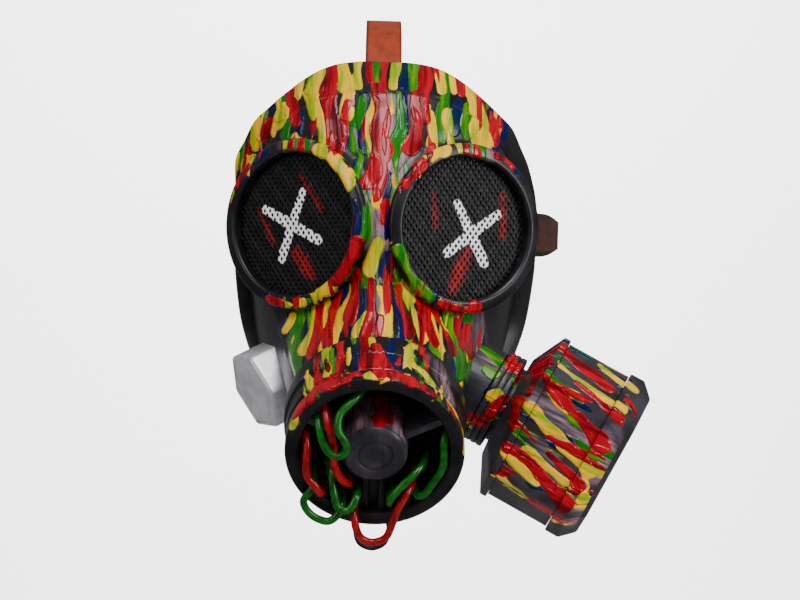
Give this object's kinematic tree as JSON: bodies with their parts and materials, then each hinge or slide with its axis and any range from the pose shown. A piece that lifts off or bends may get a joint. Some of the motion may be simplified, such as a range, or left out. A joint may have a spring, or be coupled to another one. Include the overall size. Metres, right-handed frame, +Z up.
{
  "type": "gas mask style costume mask",
  "caption": "Painted costume mask shaped like a gas mask, with netted eye rims, a round snout full of wires, a side canister and leather head straps.",
  "frame": {"origin": "middle of the wearer's head at eye height, where the mask is seated on the head", "axes": "+Z up, -Y the way the face looks, +X towards the wearer's left, the canister's side"},
  "size_m": [0.2453, 0.2812, 0.3074],
  "materials": {
    "shell": "dark moulded soft plastic, satin, with paint drips",
    "net": "black perforated net",
    "lens": "dark smoked sheet",
    "silver": "silver painted plastic",
    "paint": "thick glossy paint in streaks on dark plastic",
    "red": "glossy red sleeve",
    "green": "glossy green sleeve",
    "leather": "brown leather strap"
  },
  "bodies": {
    "root": {"mask_shell": "shell", "snout_collar": "shell", "snout_grille": "shell", "snout_backing": "lens", "chin_loop": "shell", "eye_rim_left": "shell", "eye_rim_right": "shell", "eye_net_left": "net", "eye_net_right": "net", "eye_lens_left": "lens", "eye_lens_right": "lens", "cheek_cap": "silver", "canister_neck": "shell", "canister_rim": "shell", "canister_body": "paint", "canister_lid": "shell", "red_wire_1": "red", "red_wire_2": "red", "red_wire_3": "red", "green_wire_1": "green", "green_wire_2": "green", "green_wire_3": "green", "green_wire_4": "green", "green_wire_5": "green", "back_strap": "leather", "top_strap": "leather", "strap_tongue": "leather"}
  },
  "joints": []
}
